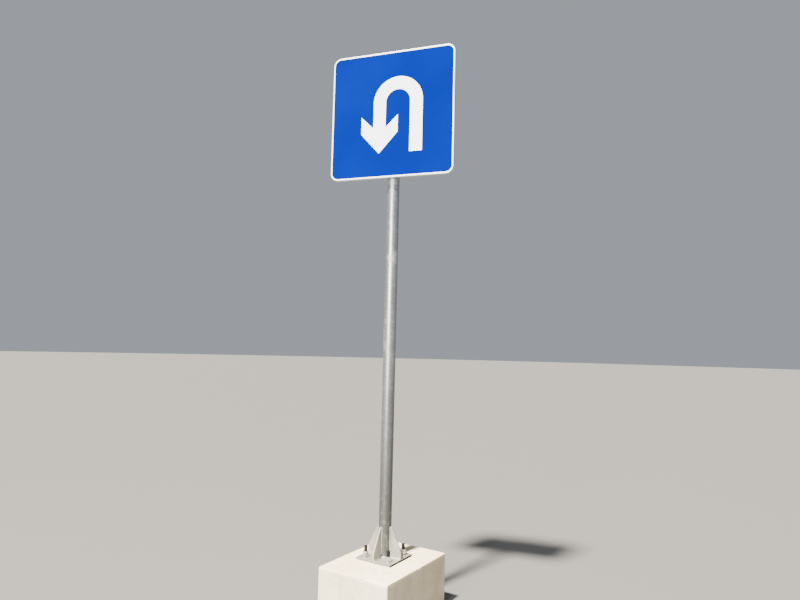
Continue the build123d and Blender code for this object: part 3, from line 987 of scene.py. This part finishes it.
# The blue field is its outline drawn in to the centre in rings, and the edge band lies between two outlines
def makeSignFace(v, a):
    back = filmBack
    inner = roundedSquare(v["blueHalf"], v["blueCorner"], v["cornerPoints"])
    outer = roundedSquare(v["edgeHalf"], v["edgeCorner"], v["cornerPoints"])
    share = np.linspace(0.0, 1.0, v["rings"])[:, None, None]
    makeFilm("blueField", filmGrids(inner[None] * share, back, v["blueFilm"], ring=True, filled=True), "blue")
    makeFilm("whiteEdge", filmGrids(np.stack([inner, outer]), back, v["edgeFilm"], ring=True), "white")
    makeFilm("arrowShank", filmGrids(arrowShank(a), back - v["blueFilm"], v["arrowFilm"]), "white")
    makeFilm("arrowHead", filmGrids(arrowHead(a), back - v["blueFilm"], v["arrowFilm"]), "white")


# The arrow's shank: a centre line (up the right leg, round a half circle, down the left leg) plus a share of
# the stroke along the direction across it
def arrowShank(a):
    turn = np.linspace(0.0, math.pi, a["bendPoints"])
    spokes = np.stack([np.cos(turn), np.sin(turn)], -1)
    bend = np.array([a["bendX"], a["bendZ"]]) + a["bendRadius"] * spokes
    first = [[a["bendX"] + a["bendRadius"], a["footZ"]]]
    last = [[a["bendX"] - a["bendRadius"], a["notchZ"]]]
    line = np.concatenate([first, bend, last])
    across = np.concatenate([[[1.0, 0.0]], spokes, [[-1.0, 0.0]]])
    side = np.linspace(-0.5, 0.5, a["acrossPoints"]) * a["stroke"]
    return line[:, None] + side[None, :, None] * across[:, None]


# The arrow's head: columns from barb to barb, each from the lower edge (down to the tip) to the upper edge
def arrowHead(a):
    half = a["stroke"] / 2
    inner = np.linspace(-half, half, a["acrossPoints"])
    x = np.concatenate([[-a["headHalf"]], inner, [a["headHalf"]]])
    lower = a["tipZ"] + np.abs(x) / a["headHalf"] * (a["barbFoot"] - a["tipZ"])
    rise = np.clip((np.abs(x) - half) / (a["headHalf"] - half), 0.0, 1.0)
    upper = a["notchZ"] + rise * (a["barbTop"] - a["notchZ"])
    share = np.linspace(0.0, 1.0, a["headRows"])[:, None]
    z = lower * (1 - share) + upper * share
    return np.stack([np.broadcast_to(x + a["bendX"] - a["bendRadius"], z.shape), z], -1)


makeSignFace(face, arrow)
print("stage: sign face made")


# Rivets that hold the rails to the sheet: low domes, height = rise * sqrt(1 - (distance / radius) squared)
rivets = {"radius": 0.0045, "rise": 0.0021, "spacing": 0.10, "reach": 0.30, "rings": 6, "around": 20,
          "flangeMiddle": 0.021, "flange": 0.003}


# Each dome point is (radius sin t cos a, rise cos t, radius sin t sin a), with a flat base closed at its
# middle
def makeRivets(v):
    t = np.linspace(0.0, math.pi / 2, v["rings"])
    a = np.linspace(0.0, 2 * math.pi, v["around"], endpoint=False)
    t2, a2 = np.meshgrid(t, a, indexing="ij")
    dome = np.stack([v["radius"] * np.sin(t2) * np.cos(a2), v["rise"] * np.cos(t2),
                     v["radius"] * np.sin(t2) * np.sin(a2)], -1)
    base = dome[-1:].copy()
    closing = np.zeros_like(base)
    shape = np.concatenate([dome, base, closing])
    xs = np.arange(-v["reach"], v["reach"] + v["spacing"] / 2, v["spacing"])
    for level in ("upper", "lower"):
        low, high = boxOf("rail_" + level)
        y = low[1] + v["flange"]
        middle = (low[2] + high[2]) / 2
        grids = [gridMesh(shape + np.array([x, y, middle + s * v["flangeMiddle"]]), wrapColumns=True)
                 for x in xs for s in (-1, 1)]
        makePiece("rivets" + level.capitalize(), grids, finishes["rivet"])


makeRivets(rivets)
print("stage: rivets made")


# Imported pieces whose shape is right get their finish
carried = {"post_cap": "cap", "sign_panel": "sheet"}
for name, finish in carried.items():
    mesh = nodes[name].data
    if not mesh.materials:
        mesh.materials.append(finishes[finish])
    for slot in nodes[name].material_slots:
        slot.material = finishes[finish]
print("stage:", len(carried), "packed pieces finished")


# Floor: a wide pale disc the plinth stands on, as rings of points (r cos a, r sin a) just below zero
def makeFloor(v):
    a = np.linspace(0.0, 2 * math.pi, v["floorAround"], endpoint=False)
    r = np.array([0.0, 0.5, 1.0])[:, None] * v["floorRadius"]
    points = np.stack([r * np.cos(a), r * np.sin(a), 0 * r * a - v["floorBelow"]], -1)
    verts, quads = gridMesh(points, wrapColumns=True, flip=True)
    mesh = bpy.data.meshes.new("floor")
    mesh.from_pydata(verts.tolist(), [], quads.tolist())
    mesh.materials.append(paleFloor("paleFloor", v))
    newObject("floor", mesh)


makeFloor(studio)
